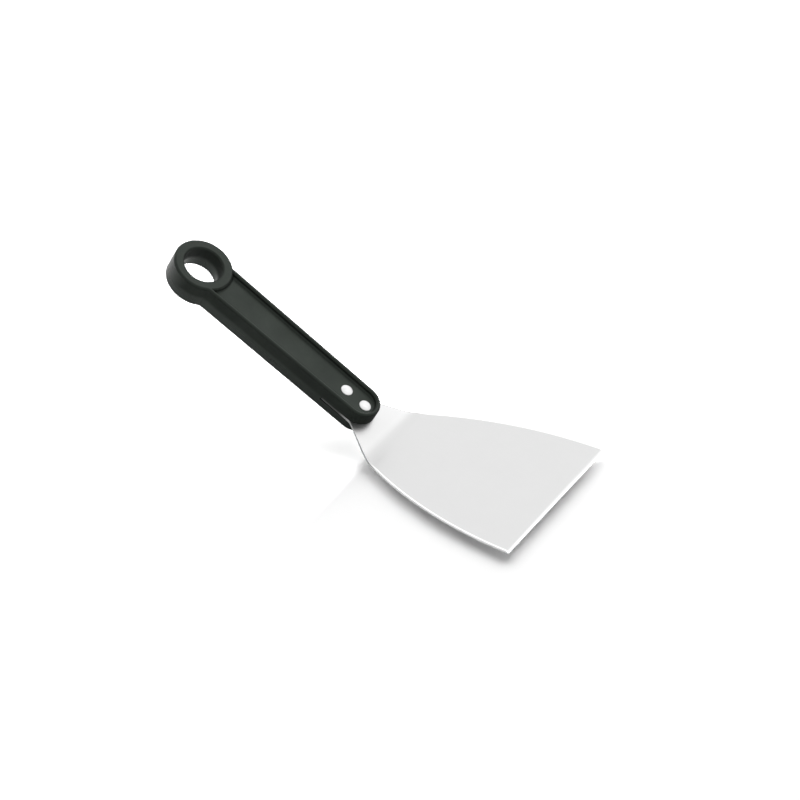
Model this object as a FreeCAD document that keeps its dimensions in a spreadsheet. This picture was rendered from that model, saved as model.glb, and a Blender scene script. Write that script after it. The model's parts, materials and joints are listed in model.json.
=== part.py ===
import FreeCAD, Part
import math
import os

import Sketcher
from FreeCAD import Placement, Rotation, Vector

# A cranked bench scraper, in millimetres: a flared sheet blade whose neck rises into a moulded
# handle, held by two compression rivets. The blade lies flat on the bench.
#
# Frame: the origin is on the centre line of the blade's flat sole, half way from the bend to the
# front edge. +X points to the front edge and +Z up. The handle and the rivets are drawn in frames
# of their own, which the crank angle tilts about Y and sets down on the neck.

SIZES = {
    # blade, neck and tang: one piece of sheet
    "sheet_thickness": 1.5,
    "blade_length": 103.0,  # from the bend to the front edge, on the sole
    "front_width": 100.0,
    "shoulder_width": 49.6,
    "shoulder_setback": 2.0,  # the shoulders lie this far in front of the bend
    "side_bulge": 6.2,  # how far each side bows out of straight, half way along
    "corner_radius": 0.8,
    "bevel_length": 2.0,  # the ground front edge
    "bevel_drop": 0.9,
    "crank_angle": 26.9,
    "bend_radius": 24.0,  # inside the bend
    "neck_length": 20.7,  # from the bend to the waist, where the tang begins
    "neck_blend": 4.0,
    "tang_length": 20.1,
    "tang_lead": 3.0,  # the waist lies this far in front of the handle's rounded end's centre
    "tang_inset": 0.1,  # each edge of the tang lies this far inside the handle's front width
    # handle: one moulding
    "handle_length": 139.2,
    "handle_thickness": 15.0,
    "grip_width": 21.4,  # across the rounded front end
    "grip_taper": 0.65,  # degrees that each side opens towards the ring
    "outline_radius": 1.3,
    "ring_diameter": 33.6,
    "ring_blend": 2.0,  # where the grip's sides run into the ring
    "hole_diameter": 22.0,
    "hole_edge_bevel": 0.8,
    "rim_width": 2.6,
    "rim_bevel": 0.8,  # the rim's inner edge
    "panel_depth": 2.6,
    "panel_blend": 1.3,
    "tang_drop": 1.3,  # the slot's middle lies this far below the handle's
    "slot_clearance": 0.05,
    "slot_end_gap": 0.4,
    # compression rivets: a sleeve from above and a pin from below
    "rivet_setback": 7.6,  # from the handle's tip to the front rivet
    "rivet_spacing": 12.8,
    "rivet_head": 6.7,
    "rivet_head_depth": 1.3,
    "rivet_bevel": 0.25,  # a head's bevelled rim, which stands this far out of the panel
    "sleeve_diameter": 4.6,
    "pin_diameter": 3.0,
    "rivet_clearance": 0.05,
    "pin_clearance": 0.02,
    "rivet_end_gap": 0.4,
}

BLANK_MARGIN = 6  # how far a cut reaches beyond what it removes
LEVEL_TOLERANCE = 1e-4


class Dim:
    """A size on the sheet, or one worked out from several: its formula and its number."""

    def __init__(self, formula, number):
        self.formula = formula
        self.number = number

    def __add__(self, other):
        other = as_dim(other)
        return Dim(f"({self.formula} + {other.formula})", self.number + other.number)

    def __sub__(self, other):
        other = as_dim(other)
        return Dim(f"({self.formula} - {other.formula})", self.number - other.number)

    def __mul__(self, other):
        other = as_dim(other)
        return Dim(f"({self.formula} * {other.formula})", self.number * other.number)

    def __truediv__(self, other):
        other = as_dim(other)
        return Dim(f"({self.formula} / {other.formula})", self.number / other.number)

    def __neg__(self):
        return Dim(f"(0 - {self.formula})", -self.number)


def as_dim(value):
    return value if isinstance(value, Dim) else Dim(str(value), value)


def sine(degrees):
    return Dim(f"sin({degrees.formula} * 1 deg)", math.sin(math.radians(degrees.number)))


def cosine(degrees):
    return Dim(f"cos({degrees.formula} * 1 deg)", math.cos(math.radians(degrees.number)))


def root(square):
    return Dim(f"sqrt({square.formula})", math.sqrt(square.number))


class Sizes:
    """The driving dimensions: each is a cell of the document's sheet, and a Dim here."""

    def __init__(self, doc, sizes):
        sheet = doc.addObject("Spreadsheet::Sheet", "Sizes")
        for row, (name, number) in enumerate(sizes.items(), start=1):
            sheet.set(f"A{row}", name)
            sheet.set(f"B{row}", str(number))
            sheet.setAlias(f"B{row}", name)
            setattr(self, name, Dim(f"Sizes.{name}", number))
        doc.recompute()


# ---- sketching ----


def origin_plane(body, role):
    return next(plane for plane in body.Origin.OriginFeatures if plane.Role == role)


def new_sketch(body, name, support, lift=None):
    """A sketch flat on a plane of its body, or lifted off it along the plane's normal."""
    sketch = body.newObject("Sketcher::SketchObject", name)
    sketch.AttachmentSupport = (support, "")
    sketch.MapMode = "FlatFace"
    if lift:
        sketch.setExpression("AttachmentOffset.Base.z", lift.formula)
    return sketch


def dimension(sketch, kind, references, size):
    """Add a driving dimension and bind it to the sheet."""
    index = sketch.addConstraint(Sketcher.Constraint(kind, *references, size.number))
    name = f"{kind.lower()}_{index}"
    sketch.renameConstraint(index, name)
    sketch.setExpression(f"Constraints.{name}", size.formula)


def fix_point(sketch, geometry, end, point):
    """Hold one point of the sketch at its two coordinates, or on an axis where one is always 0."""
    for kind, axis, coordinate in (("DistanceX", -2, point[0]), ("DistanceY", -1, point[1])):
        if coordinate.formula == "0":
            sketch.addConstraint(Sketcher.Constraint("PointOnObject", geometry, end, axis))
        else:
            dimension(sketch, kind, (-1, 1, geometry, end), coordinate)


def closed_outline(sketch, corners, bows=None):
    """Join the corners by straight sides. A side that bows names is an arc through its point."""
    bows = bows or {}
    corners = [(as_dim(x), as_dim(y)) for x, y in corners]
    spots = [Vector(x.number, y.number, 0) for x, y in corners]
    ends = []
    for side, start in enumerate(spots):
        finish = spots[(side + 1) % len(spots)]
        if side in bows:
            through = [as_dim(coordinate) for coordinate in bows[side]]
            spot = Vector(through[0].number, through[1].number, 0)
            line = sketch.addGeometry(Part.Arc(start, spot, finish), False)
            mark = sketch.addGeometry(Part.Point(spot), True)
            fix_point(sketch, mark, 1, through)
            sketch.addConstraint(Sketcher.Constraint("PointOnObject", mark, 1, line))
        else:
            line = sketch.addGeometry(Part.LineSegment(start, finish), False)
        at_start = 1 if sketch.getPoint(line, 1).isEqual(start, LEVEL_TOLERANCE) else 2
        ends.append((line, at_start, 3 - at_start))
    for side, (line, at_start, _) in enumerate(ends):
        before, _, before_end = ends[side - 1]
        sketch.addConstraint(Sketcher.Constraint("Coincident", before, before_end, line, at_start))
        fix_point(sketch, line, at_start, corners[side])


def circle(sketch, centre_x, diameter):
    """A circle on the sketch's x axis."""
    centre = Vector(centre_x.number, 0, 0)
    ring = sketch.addGeometry(Part.Circle(centre, Vector(0, 0, 1), diameter.number / 2), False)
    fix_point(sketch, ring, 3, (centre_x, as_dim(0)))
    dimension(sketch, "Diameter", (ring,), diameter)


# ---- features ----


def slab(body, name, sketch, thickness):
    """Pad a sketch evenly to both sides of its plane."""
    feature = body.newObject("PartDesign::Pad", name)
    feature.Profile = sketch
    feature.SideType = "Symmetric"
    feature.setExpression("Length", thickness.formula)
    body.Document.recompute()


def pocket(body, name, sketch, depth=None, upwards=False):
    """Cut a sketch to a depth below its plane or above it, or both ways through everything."""
    feature = body.newObject("PartDesign::Pocket", name)
    feature.Profile = sketch
    if depth:
        feature.setExpression("Length", depth.formula)
        feature.Reversed = upwards
    else:
        feature.Type = "ThroughAll"
        feature.SideType = "Symmetric"
    body.Document.recompute()
    if feature.Shape.Volume >= feature.BaseFeature.Shape.Volume:
        raise RuntimeError(f"{name} cuts nothing")


def dress_edges(body, name, kind, setting, size, wanted):
    base = body.Tip
    names = [f"Edge{i}" for i, edge in enumerate(base.Shape.Edges, start=1) if wanted(edge)]
    feature = body.newObject(f"PartDesign::{kind}", name)
    feature.Base = (base, names)
    feature.setExpression(setting, size.formula)
    body.Document.recompute()


def round_edges(body, name, radius, wanted):
    """Fillet the edges of the body so far that the test picks."""
    dress_edges(body, name, "Fillet", "Radius", radius, wanted)


def bevel_edges(body, name, width, wanted):
    """Chamfer the edges of the body so far that the test picks."""
    dress_edges(body, name, "Chamfer", "Size", width, wanted)


def level_edge(edge, height):
    """Whether the edge lies level, at this height above or below the middle."""
    box = edge.BoundBox
    return box.ZLength < LEVEL_TOLERANCE and abs(abs(box.Center.z) - height) < LEVEL_TOLERANCE


def centred_at(edge, point):
    return edge.BoundBox.Center.isEqual(point, LEVEL_TOLERANCE)


def upright_edge(edge, x, y):
    """Whether a straight edge along Z stands at x and at y or -y."""
    box = edge.BoundBox
    middle = box.Center
    slim = max(box.XLength, box.YLength) < LEVEL_TOLERANCE
    return slim and math.hypot(middle.x - x, abs(middle.y) - y) < LEVEL_TOLERANCE


# ---- the sheet piece ----


def new_body(doc, name):
    body = doc.addObject("PartDesign::Body", name)
    body.Label = name
    return body


def blade(doc, size):
    """The flared blade, its cranked neck and the tang: a bent strip, trimmed to its outline."""
    body = new_body(doc, "blade")
    bend_strip(body, size)
    trim_strip(body, size)
    drill_tang(body, size)
    round_blade(body, size)
    return body


def neck_frame(size, along, lift):
    """X and Z of a point on the neck: along its slope from the bend, and lifted off its underside."""
    tilt_sine, tilt_cosine = sine(size.crank_angle), cosine(size.crank_angle)
    x = along * tilt_cosine + lift * tilt_sine - size.blade_length / 2
    z = lift * tilt_cosine - along * tilt_sine
    return x, z


def bend_strip(body, size):
    """The side view: the blade and its ground edge, and the neck and tang behind the bend."""
    zero = as_dim(0)
    front = size.blade_length / 2
    thickness = size.sheet_thickness
    tail = -(size.neck_length + size.tang_length)
    inside_bend = thickness * sine(size.crank_angle / 2) / cosine(size.crank_angle / 2)
    corners = [
        (front, zero),
        (front, thickness - size.bevel_drop),
        (front - size.bevel_length, thickness),
        (inside_bend - front, thickness),
        neck_frame(size, tail, thickness),
        neck_frame(size, tail, zero),
        (-front, zero),
    ]
    profile = new_sketch(body, "side_view", origin_plane(body, "XZ_Plane"))
    closed_outline(profile, corners)
    slab(body, "strip", profile, size.front_width + BLANK_MARGIN * 2)

    inside = Vector((inside_bend - front).number, 0, thickness.number)
    outside = Vector(-front.number, 0, 0)
    outer_radius = size.bend_radius + thickness
    round_edges(body, "bend_inside", size.bend_radius, lambda edge: centred_at(edge, inside))
    round_edges(body, "bend_outside", outer_radius, lambda edge: centred_at(edge, outside))


def neck_plane(body, size):
    """The underside of the neck: a plane hinged at the bend, whose x runs down to the blade."""
    plane = body.newObject("PartDesign::Plane", "neck_plane")
    plane.AttachmentSupport = (origin_plane(body, "XY_Plane"), "")
    plane.MapMode = "FlatFace"
    tilt(plane, "AttachmentOffset", size, as_dim(0), as_dim(0))
    return plane


def tilt(item, placement, size, along, lift):
    """Set an object down on the neck, tilted by the crank angle."""
    x, z = neck_frame(size, along, lift)
    turn = Rotation(Vector(0, 1, 0), size.crank_angle.number)
    setattr(item, placement, Placement(Vector(x.number, 0, z.number), turn))
    item.setExpression(f"{placement}.Base.x", x.formula)
    item.setExpression(f"{placement}.Base.z", z.formula)
    item.setExpression(f"{placement}.Rotation.Angle", f"{size.crank_angle.formula} * 1 deg")


def trim_strip(body, size):
    """Cut the outline, seen from above: tang, flared neck and the blade's bowed sides."""
    front = size.blade_length / 2
    half_front, half_shoulder = size.front_width / 2, size.shoulder_width / 2
    half_tang = tang_width(size) / 2
    waist = -front - size.neck_length * cosine(size.crank_angle)
    behind = -front - size.neck_length - size.tang_length - BLANK_MARGIN
    clear = half_front + BLANK_MARGIN * 2
    sketch = new_sketch(body, "waste", origin_plane(body, "XY_Plane"))
    for side in (1, -1):
        corners = [
            (behind, half_tang * side),
            (waist, half_tang * side),
            (size.shoulder_setback - front, half_shoulder * side),
            (front, half_front * side),
            (front + BLANK_MARGIN, half_front * side),
            (front + BLANK_MARGIN, clear * side),
            (behind, clear * side),
        ]
        bow_y = (half_front + half_shoulder) / 2 + size.side_bulge
        bow = (size.shoulder_setback / 2, bow_y * side)
        closed_outline(sketch, corners, {2: bow})
    pocket(body, "outline", sketch)


def tang_width(size):
    return size.grip_width - size.tang_inset * 2


def drill_tang(body, size):
    """The two holes that the rivets' sleeves pass through."""
    sketch = new_sketch(body, "tang_holes", neck_plane(body, size))
    for place in rivet_places(size):
        circle(sketch, place - handle_setback(size), sleeve_hole(size))
    pocket(body, "rivet_holes", sketch)


def round_blade(body, size):
    """Round the front corners and the waist between tang and neck."""
    front, half_front = size.blade_length.number / 2, size.front_width.number / 2
    half_tang = tang_width(size).number / 2
    waist = -front - (size.neck_length * cosine(size.crank_angle)).number

    def front_corner(edge):
        return upright_edge(edge, front, half_front)

    def waist_corner(edge):
        return upright_edge(edge, waist, half_tang)

    round_edges(body, "front_corners", size.corner_radius, front_corner)
    round_edges(body, "waist", size.neck_blend, waist_corner)


# ---- the moulding ----


def sleeve_hole(size):
    return size.sleeve_diameter + size.rivet_clearance * 2


def handle_setback(size):
    """The centre of the handle's rounded front end, behind the bend."""
    return size.neck_length + size.tang_lead


def handle_lift(size):
    """The handle's middle plane, above the underside of the tang."""
    return size.sheet_thickness / 2 + size.tang_drop


def rivet_places(size):
    """Where the rivets stand along the handle, from the centre of its rounded front end."""
    front = size.grip_width / 2 - size.rivet_setback
    return front, front - size.rivet_spacing


def ring_centre(size):
    """The ring's centre, behind the centre of the handle's rounded front end."""
    return size.handle_length - size.grip_width / 2 - size.ring_diameter / 2


def handle(doc, size):
    """A tapered grip with a hanging ring, a panel sunk into each face and a slot for the tang."""
    body = new_body(doc, "handle")
    tilt(body, "Placement", size, -handle_setback(size), handle_lift(size))
    mould_outline(body, size)
    sink_panels(body, size)
    bore_ring(body, size)
    slot_for_tang(body, size)
    rivet_seats(body, size)
    return body


def mould_outline(body, size):
    """The grip and the ring, blended where they meet, with rounded outer edges."""
    radius, back = size.grip_width / 2, ring_centre(size)
    sine_taper, cosine_taper = sine(size.grip_taper), cosine(size.grip_taper)
    wide = (radius + back * sine_taper) / cosine_taper
    corners = [
        (radius * sine_taper, -(radius * cosine_taper)),
        (radius * sine_taper, radius * cosine_taper),
        (-back, wide),
        (-back, -wide),
    ]
    plane = origin_plane(body, "XY_Plane")
    grip = new_sketch(body, "grip_outline", plane)
    closed_outline(grip, corners, {0: (radius, 0)})
    slab(body, "grip", grip, size.handle_thickness)
    ring = new_sketch(body, "ring_outline", plane)
    circle(ring, -back, size.ring_diameter)
    slab(body, "ring", ring, size.handle_thickness)

    def beside_ring(edge):
        box = edge.BoundBox
        behind_front = box.Center.x < -size.grip_width.number
        return behind_front and max(box.XLength, box.YLength) < LEVEL_TOLERANCE

    round_edges(body, "ring_shoulders", size.ring_blend, beside_ring)
    half = size.handle_thickness.number / 2
    round_edges(body, "outer_edges", size.outline_radius, lambda edge: level_edge(edge, half))


def sink_panels(body, size):
    """Sink a panel into each face: it follows the rounded front and ends at the ring's wall."""
    plane = origin_plane(body, "XY_Plane")
    radius, back = size.grip_width / 2 - size.rim_width, ring_centre(size)
    ring_radius = size.ring_diameter / 2
    sine_taper, cosine_taper = sine(size.grip_taper), cosine(size.grip_taper)
    off_centre = radius + back * sine_taper
    reach = back * cosine_taper - root(ring_radius * ring_radius - off_centre * off_centre)
    rear_x = radius * sine_taper - reach * cosine_taper
    rear_y = radius * cosine_taper + reach * sine_taper
    corners = [
        (radius * sine_taper, -(radius * cosine_taper)),
        (radius * sine_taper, radius * cosine_taper),
        (rear_x, rear_y),
        (rear_x, -rear_y),
    ]
    bows = {0: (radius, 0), 2: (ring_radius - back, 0)}
    half = size.handle_thickness / 2
    for name, level, upwards in (("top", half, False), ("under", -half, True)):
        sketch = new_sketch(body, f"{name}_panel_outline", plane, level)
        closed_outline(sketch, corners, bows)
        pocket(body, f"{name}_panel", sketch, size.panel_depth, upwards)
    floor = half.number - size.panel_depth.number
    round_edges(body, "panel_floors", size.panel_blend, lambda edge: level_edge(edge, floor))
    inner_rims = [edge for face in rim_faces(body, half.number) for edge in inner_edges(face)]

    def inner_rim(edge):
        return any(edge.isSame(rim) for rim in inner_rims)

    bevel_edges(body, "inner_rims", size.rim_bevel, inner_rim)


def rim_faces(body, half):
    """The flat faces at the top and the underside of the body so far."""
    flat = (face for face in body.Tip.Shape.Faces if face.BoundBox.ZLength < LEVEL_TOLERANCE)
    return [face for face in flat if abs(abs(face.BoundBox.Center.z) - half) < LEVEL_TOLERANCE]


def inner_edges(face):
    return [edge for wire in face.Wires if not wire.isSame(face.OuterWire) for edge in wire.Edges]


def bore_ring(body, size):
    """The hole to hang the tool by, with bevelled edges."""
    sketch = new_sketch(body, "hang_hole_outline", origin_plane(body, "XY_Plane"))
    circle(sketch, -ring_centre(size), size.hole_diameter)
    pocket(body, "hang_hole", sketch)
    diameter, half = size.hole_diameter.number, size.handle_thickness.number / 2

    def hole_edge(edge):
        return level_edge(edge, half) and abs(edge.BoundBox.YLength - diameter) < LEVEL_TOLERANCE

    bevel_edges(body, "hole_edges", size.hole_edge_bevel, hole_edge)


def slot_for_tang(body, size):
    """A slot open at the front and at both sides, cut in as far as the tang reaches."""
    half_slot = size.sheet_thickness / 2 + size.slot_clearance
    floor, ceiling = -half_slot - size.tang_drop, half_slot - size.tang_drop
    back = size.tang_lead - size.tang_length - size.slot_end_gap
    front = size.grip_width / 2 + BLANK_MARGIN
    corners = [(back, floor), (front, floor), (front, ceiling), (back, ceiling)]
    sketch = new_sketch(body, "slot_outline", origin_plane(body, "XZ_Plane"))
    closed_outline(sketch, corners)
    pocket(body, "tang_slot", sketch)


def rivet_seats(body, size):
    """A hole for each rivet's sleeve, and a seat for its head in each panel."""
    plane = origin_plane(body, "XY_Plane")
    holes = new_sketch(body, "rivet_hole_outline", plane)
    for place in rivet_places(size):
        circle(holes, place, sleeve_hole(size))
    pocket(body, "rivet_holes", holes)
    panel = size.handle_thickness / 2 - size.panel_depth
    head_seat = size.rivet_head + size.rivet_clearance * 2
    for name, level, upwards in (("top", panel, False), ("under", -panel, True)):
        seats = new_sketch(body, f"{name}_seat_outline", plane, level)
        for place in rivet_places(size):
            circle(seats, place, head_seat)
        pocket(body, f"{name}_rivet_seats", seats, size.rivet_head_depth, upwards)


# ---- the rivets ----


def turned_rivet_half(doc, size, name, place, corners):
    """One half of a rivet, turned about its own axis, which stands on the neck's slope."""
    body = new_body(doc, name)
    tilt(body, "Placement", size, place - handle_setback(size), handle_lift(size))
    profile = new_sketch(body, f"{name}_profile", origin_plane(body, "XZ_Plane"))
    closed_outline(profile, corners)
    turned = body.newObject("PartDesign::Revolution", f"{name}_turned")
    turned.Profile = profile
    turned.ReferenceAxis = (profile, ["V_Axis"])
    turned.Angle = 360
    doc.recompute()
    return body


def rivet_levels(size):
    """Heights of the panel's floor and of the rivet head's seat, above the handle's middle."""
    panel = size.handle_thickness / 2 - size.panel_depth
    return panel, panel - size.rivet_head_depth


def rivet_sleeve(doc, size, name, place):
    """The upper half: a bevelled head on a sleeve, bored from below for the pin."""
    zero = as_dim(0)
    panel, seat = rivet_levels(size)
    head, barrel = size.rivet_head / 2, size.sleeve_diameter / 2
    bore = size.pin_diameter / 2 + size.pin_clearance
    end = size.rivet_end_gap - seat
    corners = [
        (zero, panel + size.rivet_bevel),
        (head - size.rivet_bevel, panel + size.rivet_bevel),
        (head, panel),
        (head, seat),
        (barrel, seat),
        (barrel, end),
        (bore, end),
        (bore, seat),
        (zero, seat),
    ]
    return turned_rivet_half(doc, size, name, place, corners)


def rivet_pin(doc, size, name, place):
    """The lower half: a bevelled head on a pin that is pressed up the sleeve."""
    zero = as_dim(0)
    panel, seat = rivet_levels(size)
    head, pin = size.rivet_head / 2, size.pin_diameter / 2
    end = seat - size.rivet_end_gap
    corners = [
        (zero, -panel - size.rivet_bevel),
        (head - size.rivet_bevel, -panel - size.rivet_bevel),
        (head, -panel),
        (head, -seat),
        (pin, -seat),
        (pin, end),
        (zero, end),
    ]
    return turned_rivet_half(doc, size, name, place, corners)


# ---- the whole tool ----


def bench_scraper(doc):
    size = Sizes(doc, SIZES)
    pieces = [blade(doc, size), handle(doc, size)]
    for name, place in zip(("front", "rear"), rivet_places(size)):
        pieces.append(rivet_sleeve(doc, size, f"{name}_rivet_sleeve", place))
        pieces.append(rivet_pin(doc, size, f"{name}_rivet_pin", place))
    return pieces


def write_steps(doc, pieces):
    """Write each piece to parts/, once nothing in the document has failed."""
    doc.recompute()
    failed = [item.Name for item in doc.Objects if {"Invalid", "Error"} & set(item.State)]
    failed += [piece.Label for piece in pieces if piece.Shape.isNull() or not piece.Shape.isValid()]
    if failed:
        raise RuntimeError(f"these failed: {failed}")
    os.makedirs("parts", exist_ok=True)
    for piece in pieces:
        piece.Shape.exportStep(f"parts/{piece.Label}.step")
        print(f"{piece.Label}: {piece.Shape.Volume:.0f} mm3, {len(piece.Shape.Solids)} solid")


document = FreeCAD.newDocument("bench_scraper")
write_steps(document, bench_scraper(document))
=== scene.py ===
import json
import math

import bmesh
import bpy
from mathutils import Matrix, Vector


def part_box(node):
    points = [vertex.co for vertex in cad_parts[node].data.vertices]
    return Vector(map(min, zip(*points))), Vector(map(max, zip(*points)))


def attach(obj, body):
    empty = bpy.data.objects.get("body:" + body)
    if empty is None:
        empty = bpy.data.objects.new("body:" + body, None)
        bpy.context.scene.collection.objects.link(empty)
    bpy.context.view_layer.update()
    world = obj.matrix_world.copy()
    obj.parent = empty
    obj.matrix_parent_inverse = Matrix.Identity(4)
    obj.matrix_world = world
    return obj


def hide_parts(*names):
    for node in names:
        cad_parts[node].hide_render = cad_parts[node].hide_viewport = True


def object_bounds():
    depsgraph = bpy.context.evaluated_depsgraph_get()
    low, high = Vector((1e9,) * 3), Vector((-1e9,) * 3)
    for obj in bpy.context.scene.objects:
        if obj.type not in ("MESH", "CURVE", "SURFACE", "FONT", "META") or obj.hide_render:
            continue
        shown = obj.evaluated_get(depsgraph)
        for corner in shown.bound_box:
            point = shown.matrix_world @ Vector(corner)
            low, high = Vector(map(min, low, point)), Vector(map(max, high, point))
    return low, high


# A cranked bench scraper on a white bench: a satin steel blade, a black moulded handle and two
# aluminium rivets. Lengths are in metres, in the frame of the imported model: X runs from the
# handle to the blade's front edge, and Z goes up from the sole that the blade lies on.

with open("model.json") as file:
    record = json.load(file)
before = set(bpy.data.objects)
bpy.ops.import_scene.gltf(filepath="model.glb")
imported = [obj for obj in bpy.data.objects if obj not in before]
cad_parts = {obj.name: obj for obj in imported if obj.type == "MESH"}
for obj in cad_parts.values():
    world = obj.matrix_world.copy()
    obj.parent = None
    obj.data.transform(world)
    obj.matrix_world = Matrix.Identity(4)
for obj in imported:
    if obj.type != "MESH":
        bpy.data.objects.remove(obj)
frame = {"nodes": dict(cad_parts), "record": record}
nodes = frame["nodes"]
cad_low, cad_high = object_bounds()

MM = 0.001
HALF_SHEET = 0.75 * MM


def mount(name):
    """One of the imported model's mounts."""
    return next(item for item in frame["record"]["mounts"] if item["name"] == name)


# the sole reaches as far behind the origin, to the bend, as before it, to the front edge
BEND = Vector((-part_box("blade")[1].x, 0, HALF_SHEET))
HANG_HOLE = mount("hang_hole")
BORE_RADIUS = HANG_HOLE["dims"]["r_mm"] * MM
HANDLE_UP = Vector(HANG_HOLE["axis"]).normalized()
HANDLE_FORWARD = Vector((HANDLE_UP.z, 0, -HANDLE_UP.x))

# ---- camera ----

CAMERA_AZIMUTH = math.radians(31.8)
CAMERA_ELEVATION = math.radians(37.3)
CAMERA_DISTANCE = 2.0
FIELD_WIDTH = 0.4255  # how wide the view is at the bend
AIM_RIGHT = 5.6 * MM  # the camera aims this far right of the bend, and above it
AIM_ABOVE = 19.7 * MM
SENSOR_WIDTH = 36.0
CLIP_START = 0.05


def set_camera():
    """A long lens that looks down on the scraper from its right and a little ahead of it."""
    sine, cosine = math.sin(CAMERA_AZIMUTH), math.cos(CAMERA_AZIMUTH)
    level = math.cos(CAMERA_ELEVATION)
    back = Vector((sine * level, -cosine * level, math.sin(CAMERA_ELEVATION)))
    right = Vector((cosine, sine, 0))
    above = back.cross(right)
    aim = BEND + right * AIM_RIGHT + above * AIM_ABOVE
    lens = bpy.data.cameras.new("camera")
    lens.sensor_width = SENSOR_WIDTH
    lens.lens = SENSOR_WIDTH * CAMERA_DISTANCE / FIELD_WIDTH
    lens.clip_start = CLIP_START
    camera = bpy.data.objects.new("camera", lens)
    camera.location = aim + back * CAMERA_DISTANCE
    camera.rotation_euler = (-back).to_track_quat("-Z", "Y").to_euler()
    bpy.context.scene.collection.objects.link(camera)
    bpy.context.scene.camera = camera


# ---- node trees ----

NOISE_LOW = 0.25  # nearly all of a noise lies between these
NOISE_HIGH = 0.75


class Network:
    """A node tree, with short calls that add nodes to it and give their sockets."""

    def __init__(self, tree):
        self.tree = tree

    def fill(self, node, inputs):
        """Joins each input of a node that is given a socket, and sets the others."""
        for key, value in dict(inputs).items():
            if isinstance(value, bpy.types.NodeSocket):
                self.tree.links.new(value, node.inputs[key])
            else:
                node.inputs[key].default_value = value

    def node(self, kind, inputs=(), **settings):
        made = self.tree.nodes.new(kind)
        for key, value in settings.items():
            setattr(made, key, value)
        self.fill(made, inputs)
        return made

    def math(self, operation, first, second=0.0):
        made = self.node("ShaderNodeMath", {0: first, 1: second}, operation=operation)
        return made.outputs["Value"]

    def vector(self, x=0.0, y=0.0, z=0.0):
        return self.node("ShaderNodeCombineXYZ", {"X": x, "Y": y, "Z": z}).outputs["Vector"]

    def combined(self, operation, first, second):
        """The vector that comes of two others."""
        made = self.node("ShaderNodeVectorMath", {0: first, 1: second}, operation=operation)
        return made.outputs["Vector"]

    def measured(self, operation, first, second=(0, 0, 0)):
        """The number that comes of one or two vectors, such as a length or a distance."""
        made = self.node("ShaderNodeVectorMath", {0: first, 1: second}, operation=operation)
        return made.outputs["Value"]

    def fade(self, value, start, end, low, high, shape="LINEAR"):
        """Gives low up to where a value reaches the start, and high from the end on."""
        made = self.node("ShaderNodeMapRange",
                         {"Value": value, "From Min": start, "From Max": end,
                          "To Min": low, "To Max": high}, interpolation_type=shape)
        return made.outputs["Result"]

    def noise(self, place, scale, detail, roughness=0.5):
        made = self.node("ShaderNodeTexNoise", {"Vector": place, "Scale": scale,
                                                "Detail": detail, "Roughness": roughness})
        return made.outputs["Fac"]

    def spread(self, noise, low, high):
        """Takes a noise to between low and high."""
        return self.fade(noise, NOISE_LOW, NOISE_HIGH, low, high)

    def seen_by(self, *rays):
        """1 to the kinds of ray that are named, and 0 to the others."""
        path = self.node("ShaderNodeLightPath").outputs
        seen = path[rays[0]]
        for ray in rays[1:]:
            seen = self.math("MAXIMUM", seen, path[ray])
        return seen


class Finish(Network):
    """A material, with the calls that a finish needs."""

    def __init__(self, name):
        self.material = bpy.data.materials.new(name)
        self.material.use_nodes = True
        super().__init__(self.material.node_tree)
        self.shader = self.tree.nodes["Principled BSDF"]

    def place(self, scale=(1, 1, 1)):
        """Where a point of the piece is, with its own scale for each axis."""
        where = self.node("ShaderNodeTexCoord").outputs["Object"]
        return self.node("ShaderNodeMapping", {"Vector": where, "Scale": scale}).outputs["Vector"]

    def bump(self, height, strength, depth):
        made = self.node("ShaderNodeBump", {"Height": height, "Strength": strength,
                                            "Distance": depth})
        return made.outputs["Normal"]


# ---- materials ----

SIDE_START = Vector((-49.5, 24.8, 0)) * MM  # each side of the blade is an arc from here
SIDE_END = Vector((51.5, 50.0, 0)) * MM
SIDE_BULGE = 6.02 * MM  # how far the arc stands off the straight line between its ends
RIM_WIDTH = 1.0 * MM  # the edges are brighter this far in: partly rubbed bright, partly a painted highlight
RIM_FADE = 0.4 * MM
RIM_START = 8 * MM  # along a side, the brighter edge, wear and painted highlight, comes in over this length
TANG_SHADE_START = -71 * MM  # from here back the tang is darkened with painted shade, where it goes into the handle's slot
TANG_SHADE_FULL = -77 * MM
TANG_PAINTED_SHADE = 0.2  # of the steel's brightness
STEEL_SHADE = 0.5
# the edges' steel colour: partly rubbed bright, partly a painted highlight
RIM_WEAR_AND_HIGHLIGHT = 0.9
CLOUD_SCALE = 45  # scales of noise are in repeats a metre
CLOUD_SHADE = (0.975, 1.025)
CLOUD_ROUGH = (0.34, 0.4)
STREAK_SCALE = 260
STREAK_LENGTH = 14  # in widths of a streak
STREAK_SHADE = (0.98, 1.02)
STREAK_ROUGH = (-0.02, 0.03)
STREAK_BUMP = 0.1
STREAK_DEPTH = 0.02 * MM


def side_circle():
    """The centre and the radius of the arc that each side of the blade follows."""
    chord = SIDE_END - SIDE_START
    radius = (chord.length ** 2 / 4 + SIDE_BULGE ** 2) / (2 * SIDE_BULGE)
    inward = Vector((chord.y, -chord.x, 0)).normalized()
    return (SIDE_START + SIDE_END) / 2 + inward * (radius - SIDE_BULGE), radius


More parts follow.
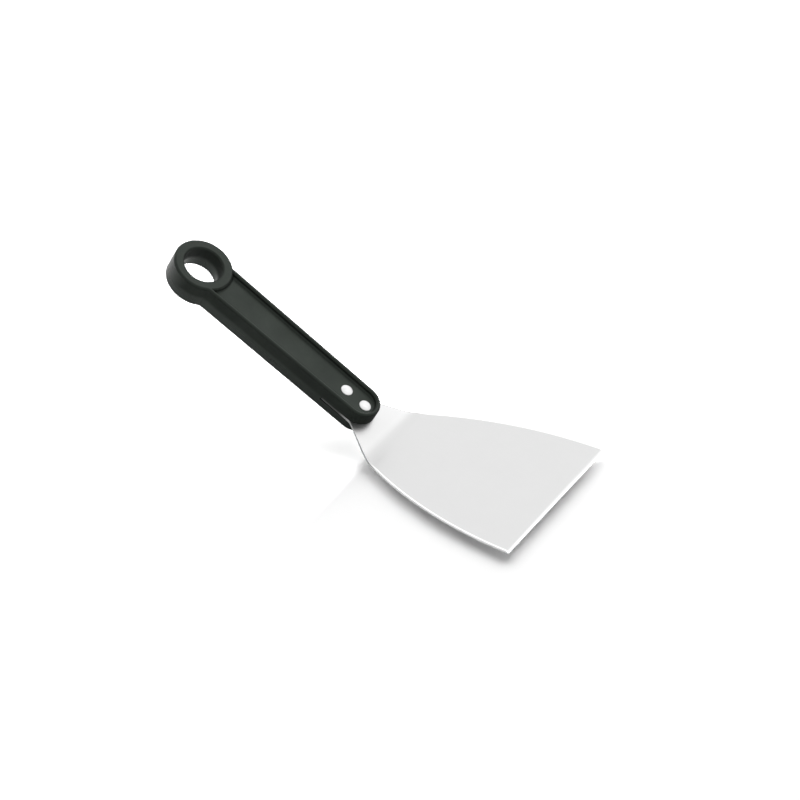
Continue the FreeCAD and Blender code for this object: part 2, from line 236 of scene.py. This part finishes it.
def satin_steel():
    """Satin steel, brighter along its edges, partly rubbed bright and partly a painted highlight,
    with painted shade on the tang where it goes into the handle.
    """
    finish = Finish("satin_steel")
    place = finish.place()
    axes = finish.node("ShaderNodeSeparateXYZ", {"Vector": place}).outputs

    # brighter along the sides, which fold over the middle onto one arc, and along the front:
    # partly wear, partly a painted highlight
    centre, radius = side_circle()
    folded = finish.vector(axes["X"], finish.math("ABSOLUTE", axes["Y"]))
    reach = finish.measured("DISTANCE", folded, centre)
    side = finish.fade(reach, radius - RIM_WIDTH, radius - RIM_WIDTH + RIM_FADE, 0, 1)
    begun = finish.fade(axes["X"], SIDE_START.x, SIDE_START.x + RIM_START, 0, 1)
    inner = SIDE_END.x - RIM_WIDTH
    front = finish.fade(axes["X"], inner, inner + RIM_FADE, 0, 1)
    rim_wear_and_highlight = finish.math("MAXIMUM", finish.math("MULTIPLY", side, begun), front)
    # the edges' brighter colour is partly rubbed steel and partly a painted highlight
    rubbed_and_highlit = finish.fade(rim_wear_and_highlight, 0, 1, STEEL_SHADE, RIM_WEAR_AND_HIGHLIGHT)
    # painted shade: the steel darkens where the tang goes back into the handle
    tang_painted_shade = finish.fade(axes["X"], TANG_SHADE_FULL, TANG_SHADE_START, TANG_PAINTED_SHADE, 1)
    shade = finish.math("MULTIPLY", rubbed_and_highlit, tang_painted_shade)

    # rolled and belted along the blade: faint clouds, and fine streaks in shade and gloss
    cloud = finish.noise(place, CLOUD_SCALE, detail=3)
    streak = finish.noise(finish.place((1, STREAK_LENGTH, 1)), STREAK_SCALE, detail=4,
                          roughness=0.65)
    shade = finish.math("MULTIPLY", shade, finish.spread(cloud, *CLOUD_SHADE))
    shade = finish.math("MULTIPLY", shade, finish.spread(streak, *STREAK_SHADE))
    rough = finish.math("ADD", finish.spread(cloud, *CLOUD_ROUGH),
                        finish.spread(streak, *STREAK_ROUGH))
    finish.fill(finish.shader, {"Metallic": 1.0, "Base Color": shade, "Roughness": rough,
                                "Normal": finish.bump(streak, STREAK_BUMP, STREAK_DEPTH)})
    return finish.material


NYLON_GLOSS = 0.35
NYLON_GLOSS_TINT = (0.84, 1.0, 0.87, 1)
NYLON_BLACK = (0.0008, 0.001, 0.0009, 1)
NYLON_BLOOM = (0.0075, 0.0095, 0.0072, 1)  # a faint dull green that comes out on the black
BLOOM_SCALE = 110
BLOOM_RANGE = (0.4, 0.75)  # where in its noise it starts, and where it is whole
FACE_ROUGH = (0.36, 0.46)
ROUGH_SCALE = 60
WALL_FACING = 0.4  # a wall looks up or down through the handle's thickness no more than this,
FACE_FACING = 0.8  # and a face no less than this, where 1 is straight
WALL_ROUGH = 0.35  # how much rougher the walls are, which the mould's blasting leaves
RUBBED = -0.4  # the share of that where a wall is rubbed, which makes it smoother than a face
LIP_START = 2 * MM  # out from the bore's wall; past these it is the ring's outside
LIP_END = 3 * MM
TIP_START = 1 * MM  # forward of the hole's axis
TIP_FULL = -9 * MM
LOWER_START = 0.8 * MM  # above the middle of the handle's thickness
LOWER_FULL = -2.5 * MM
GRAIN_SCALE = 2500
GRAIN_BUMP = 0.12
GRAIN_DEPTH = 0.05 * MM


def moulded_black():
    """Black nylon: polished where the mould's faces look up or down, blasted on the walls."""
    finish = Finish("moulded_black")
    place = finish.place()
    bloom = finish.noise(place, BLOOM_SCALE, detail=4, roughness=0.6)
    tint = finish.node("ShaderNodeValToRGB", {"Fac": bloom})
    for stop, position, colour in zip(tint.color_ramp.elements, BLOOM_RANGE,
                                      (NYLON_BLACK, NYLON_BLOOM)):
        stop.position = position
        stop.color = colour

    facing = finish.measured("DOT_PRODUCT", finish.node("ShaderNodeTexCoord").outputs["Normal"],
                             HANDLE_UP)
    wall = finish.fade(finish.math("ABSOLUTE", facing), WALL_FACING, FACE_FACING, WALL_ROUGH, 0)
    # hooks have rubbed the ring's tip smooth outside its bore, and hands the walls' lower part
    off = finish.combined("SUBTRACT", place, HANG_HOLE["pos_m"])
    apart = finish.measured("LENGTH", finish.combined("CROSS_PRODUCT", off, HANDLE_UP))
    forward = finish.measured("DOT_PRODUCT", off, HANDLE_FORWARD)
    height = finish.measured("DOT_PRODUCT", off, HANDLE_UP)
    bore = finish.fade(apart, BORE_RADIUS + LIP_START, BORE_RADIUS + LIP_END, 1, RUBBED)
    grip = finish.fade(forward, TIP_FULL, TIP_START, RUBBED, 1)
    upper = finish.fade(height, LOWER_FULL, LOWER_START, RUBBED, 1)
    kept = finish.math("MINIMUM", finish.math("MAXIMUM", bore, grip), upper)
    rough = finish.spread(finish.noise(place, ROUGH_SCALE, detail=2), *FACE_ROUGH)
    rough = finish.math("ADD", rough, finish.math("MULTIPLY", wall, kept))

    grain = finish.noise(place, GRAIN_SCALE, detail=2)
    finish.fill(finish.shader, {"Specular IOR Level": NYLON_GLOSS,
                                "Specular Tint": NYLON_GLOSS_TINT,
                                "Base Color": tint.outputs["Color"], "Roughness": rough,
                                "Normal": finish.bump(grain, GRAIN_BUMP, GRAIN_DEPTH)})
    return finish.material


ALUMINIUM_SHADE = (0.5, 0.5, 0.5, 1)
ALUMINIUM_ROUGH = (0.3, 0.4)
ALUMINIUM_SCALE = 400


def turned_aluminium():
    """Bare aluminium, a little uneven in its gloss."""
    finish = Finish("turned_aluminium")
    cloud = finish.noise(finish.place(), ALUMINIUM_SCALE, detail=2)
    finish.fill(finish.shader, {"Metallic": 1.0, "Base Color": ALUMINIUM_SHADE,
                                "Roughness": finish.spread(cloud, *ALUMINIUM_ROUGH)})
    return finish.material


def paint(piece, material):
    piece.data.materials.clear()
    piece.data.materials.append(material)


# ---- blade and handle ----

BLADE_ROUND = 0.3 * MM  # a punched and tumbled edge
BLADE_ROUND_STEPS = 3
HANDLE_ROUND = 0.3 * MM
HANDLE_ROUND_STEPS = 2
EDGE_ANGLE = math.radians(40)  # what turns by more than this is an edge
FLAT_ANGLE = math.radians(0.3)  # what turns by less than this is one face
SAME_POINT = 0.001 * MM
BROAD_FACE_WEIGHT = 100  # the most: the broad faces alone settle the shading at their edges


def clean_copy(name, node):
    """A copy of a node's mesh as one closed skin with whole flat faces, for finer work."""
    skin = bmesh.new()
    skin.from_mesh(node.data)
    bmesh.ops.remove_doubles(skin, verts=skin.verts, dist=SAME_POINT)
    bmesh.ops.dissolve_limit(skin, angle_limit=FLAT_ANGLE, verts=skin.verts, edges=skin.edges)
    mesh = bpy.data.meshes.new(name)
    skin.to_mesh(mesh)
    skin.free()
    piece = bpy.data.objects.new(name, mesh)
    bpy.context.scene.collection.objects.link(piece)
    return piece


def apply_modifiers(piece):
    """Turns a piece with its modifiers into a plain mesh."""
    shaped = piece.evaluated_get(bpy.context.evaluated_depsgraph_get())
    mesh = bpy.data.meshes.new_from_object(shaped)
    piece.modifiers.clear()
    piece.data = mesh


def round_edges(piece, radius, steps):
    """Rounds a piece's edges, and shades it smooth with its broad faces left flat."""
    bevel = piece.modifiers.new("rounded", "BEVEL")
    bevel.width = radius
    bevel.segments = steps
    bevel.limit_method = "ANGLE"
    bevel.angle_limit = EDGE_ANGLE
    bevel.harden_normals = True
    piece.data.shade_smooth()
    flat = piece.modifiers.new("flat", "WEIGHTED_NORMAL")
    flat.weight = BROAD_FACE_WEIGHT
    flat.keep_sharp = True
    apply_modifiers(piece)


def make_blade():
    blade = clean_copy("scraper_blade", nodes["blade"])
    round_edges(blade, BLADE_ROUND, BLADE_ROUND_STEPS)
    return blade


def make_handle():
    handle = clean_copy("riveted_handle", nodes["handle"])
    round_edges(handle, HANDLE_ROUND, HANDLE_ROUND_STEPS)
    return handle


# ---- rivets ----

RIVET_HEAD = 6.7 * MM  # diameters
RIVET_SHANK = 4.6 * MM
RIVET_CROWN = 0.2 * MM
RIVET_DEPTH = 1.3 * MM
RIVET_ROUND = 0.15 * MM
CROWN_STEPS = 6
TURNING_FACETS = 64
TURNING_ROUND_STEPS = 3
TURNING_CORE = 0.001 * MM  # the bore that turning leaves, which is welded shut
TURNING_WELD = 3 * TURNING_CORE
END_DEPTH = 0.01 * MM


class Recipe(Network):
    """A Geometry Nodes tree with named inputs, which makes one plain mesh piece."""

    def __init__(self, name):
        super().__init__(bpy.data.node_groups.new(name, "GeometryNodeTree"))
        self.tree.interface.new_socket("Geometry", in_out="OUTPUT",
                                       socket_type="NodeSocketGeometry")
        self.given = self.tree.nodes.new("NodeGroupInput")
        self.result = self.tree.nodes.new("NodeGroupOutput")
        self.asked = {}

    def ask(self, name, kind, value):
        """Adds a named input, and gives the socket that carries it through the tree."""
        socket = self.tree.interface.new_socket(name, in_out="INPUT",
                                                socket_type="NodeSocket" + kind)
        self.asked[socket.identifier] = value
        return self.given.outputs[name]

    def move(self, geometry, offset):
        return self.node("GeometryNodeSetPosition",
                         {"Geometry": geometry, "Offset": offset}).outputs[0]

    def draw_on(self, line, tip, x, y):
        """Draws a line on from its tip by an offset, and gives the line and its new tip."""
        drawn = self.node("GeometryNodeExtrudeMesh",
                          {"Mesh": line, "Selection": tip, "Offset": self.vector(x, y),
                           "Offset Scale": 1.0}, mode="VERTICES")
        return drawn.outputs["Mesh"], drawn.outputs["Top"]

    def weld(self, geometry):
        return self.node("GeometryNodeMergeByDistance",
                         {"Geometry": geometry, "Distance": TURNING_WELD}).outputs[0]

    def turn(self, line, edge):
        """Rounds the corners of a line drawn in X and -Z, laid flat, and turns it about Z."""
        profile = self.node("GeometryNodeMeshToCurve", {"Mesh": line}).outputs[0]
        profile = self.node("GeometryNodeFilletCurve",
                            {"Curve": profile, "Radius": edge, "Limit Radius": True,
                             "Count": TURNING_ROUND_STEPS}, mode="POLY").outputs[0]
        path = self.node("GeometryNodeCurvePrimitiveCircle",
                         {"Resolution": TURNING_FACETS, "Radius": TURNING_CORE}).outputs[0]
        skin = self.node("GeometryNodeCurveToMesh",
                         {"Curve": path, "Profile Curve": profile}).outputs[0]
        return self.weld(skin)

    def make(self, name, geometry):
        """Ends the tree, runs it once and gives the piece that it makes."""
        self.tree.links.new(geometry, self.result.inputs["Geometry"])
        piece = bpy.data.objects.new(name, bpy.data.meshes.new(name))
        bpy.context.scene.collection.objects.link(piece)
        modifier = piece.modifiers.new(name, "NODES")
        modifier.node_group = self.tree
        for identifier, value in self.asked.items():
            modifier[identifier] = value
        apply_modifiers(piece)
        return piece


def end_face(node, toward):
    """The middle of a node's farthest face in a direction."""
    reach = max(vertex.co.dot(toward) for vertex in node.data.vertices)
    face = [vertex.co for vertex in node.data.vertices
            if reach - vertex.co.dot(toward) < END_DEPTH]
    return Vector([(min(values) + max(values)) / 2 for values in zip(*face)])


def make_rivets(material):
    """Both rivets: one profile, turned, mirrored for the head below, and set in two places."""
    front = end_face(nodes["front_rivet_sleeve"], HANDLE_UP)
    rear = end_face(nodes["rear_rivet_sleeve"], HANDLE_UP)
    under = end_face(nodes["front_rivet_pin"], -HANDLE_UP)
    recipe = Recipe("rivets")
    half = recipe.ask("Half Length", "Float", (front - under).length / 2)
    head = recipe.ask("Head Radius", "Float", RIVET_HEAD / 2)
    depth = recipe.ask("Head Depth", "Float", RIVET_DEPTH)
    crown = recipe.ask("Crown", "Float", RIVET_CROWN)
    edge = recipe.ask("Edge Round", "Float", RIVET_ROUND)
    shank = recipe.ask("Shank Radius", "Float", RIVET_SHANK / 2)
    first = recipe.ask("First Rivet", "Vector", (front + under) / 2)
    step = recipe.ask("Step", "Vector", rear - front)
    lean = recipe.ask("Lean", "Float", math.atan2(HANDLE_UP.x, HANDLE_UP.z))

    # the crown, from the axis to the head's edge: it falls with the square of the radius
    across = recipe.vector(recipe.math("DIVIDE", head, CROWN_STEPS))
    line = recipe.node("GeometryNodeMeshLine",
                       {"Count": CROWN_STEPS + 1, "Offset": across}).outputs[0]
    count = recipe.node("GeometryNodeInputIndex").outputs[0]
    part = recipe.math("DIVIDE", count, CROWN_STEPS)
    fall = recipe.math("SUBTRACT", 1.0, recipe.math("POWER", part, 2.0))
    height = recipe.math("ADD", half, recipe.math("MULTIPLY", crown, fall))
    line = recipe.move(line, recipe.vector(0.0, recipe.math("MULTIPLY", height, -1.0)))
    tip = recipe.node("FunctionNodeCompare", {2: count, 3: CROWN_STEPS},
                      data_type="INT", operation="EQUAL").outputs[0]
    # down the head, in under it, and down the shank to the middle
    line, tip = recipe.draw_on(line, tip, 0.0, depth)
    line, tip = recipe.draw_on(line, tip, recipe.math("SUBTRACT", shank, head), 0.0)
    line, tip = recipe.draw_on(line, tip, 0.0, recipe.math("SUBTRACT", half, depth))
    upper = recipe.turn(line, edge)
    lower = recipe.node("GeometryNodeTransform",
                        {"Geometry": upper, "Scale": (1.0, 1.0, -1.0)}).outputs[0]
    lower = recipe.node("GeometryNodeFlipFaces", {"Mesh": lower}).outputs[0]
    whole = recipe.node("GeometryNodeJoinGeometry", {"Geometry": upper})
    recipe.fill(whole, {"Geometry": lower})
    rivet = recipe.weld(whole.outputs[0])

    places = recipe.node("GeometryNodeMeshLine",
                         {"Count": 2, "Start Location": first, "Offset": step}).outputs[0]
    both = recipe.node("GeometryNodeInstanceOnPoints",
                       {"Points": places, "Instance": rivet,
                        "Rotation": recipe.vector(0.0, lean, 0.0)}).outputs[0]
    both = recipe.node("GeometryNodeRealizeInstances", {"Geometry": both}).outputs[0]
    both = recipe.node("GeometryNodeSetShadeSmooth", {"Geometry": both}).outputs[0]
    both = recipe.node("GeometryNodeSetMaterial",
                       {"Geometry": both, "Material": material}).outputs[0]
    return recipe.make("rivets", both)


# ---- bench ----

BENCH_DROP = 4.0 * MM  # the bench lies this far below the sole, for a soft shadow at its edges
BENCH_SIZE = 30.0
BENCH_WHITE = 0.7  # what it is to the light that falls on it
BENCH_LIFT = 2.2  # how white it is seen, which takes plain light on it to white
HANDLE_LIFT_PAINTED_LIGHT = 4.8  # the same beside the handle, higher: painted light on the bench that hides the handle's shadow
LIFT_START = 1 * MM  # forward of the bend; the one turns into the other between these
LIFT_END = -9 * MM


def set_bench():
    """A white bench, seen whiter than it lights what stands on it, and most so by the handle,
    where painted light hides the handle's shadow.
    """
    mesh = bpy.data.meshes.new("bench")
    half = BENCH_SIZE / 2
    corners = [(-half, -half), (half, -half), (half, half), (-half, half)]
    mesh.from_pydata([(x, y, -BENCH_DROP) for x, y in corners], [], [(0, 1, 2, 3)])
    bench = bpy.data.objects.new("bench", mesh)
    bpy.context.scene.collection.objects.link(bench)

    finish = Finish("white_bench")
    finish.tree.nodes.remove(finish.shader)
    plain = finish.node("ShaderNodeBsdfDiffuse",
                        {"Color": (BENCH_WHITE, BENCH_WHITE, BENCH_WHITE, 1)})
    # what is added is only seen: by the eye, and as plain white in gloss and through glass
    by_blade, painted_light_by_handle = BENCH_LIFT - BENCH_WHITE, HANDLE_LIFT_PAINTED_LIGHT - BENCH_WHITE
    where = finish.node("ShaderNodeTexCoord").outputs["Object"]
    along = finish.node("ShaderNodeSeparateXYZ", {"Vector": where}).outputs["X"]
    # painted light: the bench is seen whiter by the handle, which hides the handle's shadow there
    lift = finish.fade(along, BEND.x + LIFT_START, BEND.x + LIFT_END, by_blade, painted_light_by_handle,
                       "SMOOTHSTEP")
    to_eye = finish.math("MULTIPLY", finish.seen_by("Is Camera Ray"), lift)
    to_gloss = finish.math("MULTIPLY", finish.seen_by("Is Glossy Ray", "Is Transmission Ray"),
                           by_blade)
    extra = finish.node("ShaderNodeBsdfDiffuse",
                        {"Color": finish.math("MAXIMUM", to_eye, to_gloss)})
    both = finish.node("ShaderNodeAddShader",
                       {0: plain.outputs["BSDF"], 1: extra.outputs["BSDF"]})
    finish.fill(finish.tree.nodes["Material Output"], {"Surface": both.outputs["Shader"]})
    mesh.materials.append(finish.material)


# ---- light ----

WALL_LEVEL = 1.7  # levels of light, where 1 shows a white thing white
FRONT_LEVEL = 0.09
SEEN_LEVEL = 1.0  # the least that is seen of the room
WALL_TOWARD = (-0.75, 1.0, 0.64)
WALL_FULL = math.radians(30)  # off that direction
WALL_END = math.radians(54)
CEILING_FULL = math.radians(12)  # from straight up
CEILING_END = math.radians(38)
CEILING_SHARE = 0.15  # of the wall's light, where the ceiling cuts it off
LAMP_TOWARD = (0.24, 0.676, 0.70)  # where the handle's upper faces and the neck look
LAMP_DISTANCE = 2.0
LAMP_WIDTH = 0.9
LAMP_LEVEL = 1.2
LAMP_POWER = 4  # watts for a square metre of an area lamp at level 1


def hang_lamp():
    """A soft square lamp for the handle and the neck."""
    toward = Vector(LAMP_TOWARD).normalized()
    lamp = bpy.data.lights.new("handle_lamp", "AREA")
    lamp.size = LAMP_WIDTH
    lamp.energy = LAMP_POWER * LAMP_LEVEL * LAMP_WIDTH * LAMP_WIDTH
    box = bpy.data.objects.new("handle_lamp", lamp)
    box.location = (cad_low + cad_high) / 2 + toward * LAMP_DISTANCE
    box.rotation_euler = toward.to_track_quat("Z", "Y").to_euler()
    bpy.context.scene.collection.objects.link(box)


def set_studio():
    """A dim room with a broad bright wall behind the bench, under a ceiling."""
    world = bpy.data.worlds.new("studio")
    bpy.context.scene.world = world
    world.use_nodes = True
    room = Network(world.node_tree)
    look = room.node("ShaderNodeTexCoord").outputs["Generated"]

    def patch(toward, end, full, low, high):
        """Gives high within the full angle of a direction, and low outside the end angle."""
        near = room.measured("DOT_PRODUCT", look, Vector(toward).normalized())
        return room.fade(near, math.cos(end), math.cos(full), low, high, "SMOOTHSTEP")

    wall = patch(WALL_TOWARD, WALL_END, WALL_FULL, 0, 1)
    ceiling = patch((0, 0, 1), CEILING_END, CEILING_FULL, 1, CEILING_SHARE)
    light = room.fade(room.math("MULTIPLY", wall, ceiling), 0, 1, FRONT_LEVEL, WALL_LEVEL)
    seen = room.seen_by("Is Glossy Ray", "Is Transmission Ray", "Is Camera Ray")
    pale = room.math("MULTIPLY", seen, SEEN_LEVEL)
    room.fill(room.tree.nodes["Background"],
              {"Color": (1, 1, 1, 1), "Strength": room.math("MAXIMUM", light, pale)})
    hang_lamp()


# ---- the whole scene ----

set_camera()
set_studio()
set_bench()
bpy.context.scene.view_settings.view_transform = "Standard"

steel, black, aluminium = satin_steel(), moulded_black(), turned_aluminium()
blade = make_blade()
paint(blade, steel)
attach(blade, "root")
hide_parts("blade")

handle = make_handle()
paint(handle, black)
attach(handle, "root")
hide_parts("handle")

rivets = make_rivets(aluminium)
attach(rivets, "root")
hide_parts("front_rivet_sleeve", "front_rivet_pin", "rear_rivet_sleeve",
            "rear_rivet_pin")
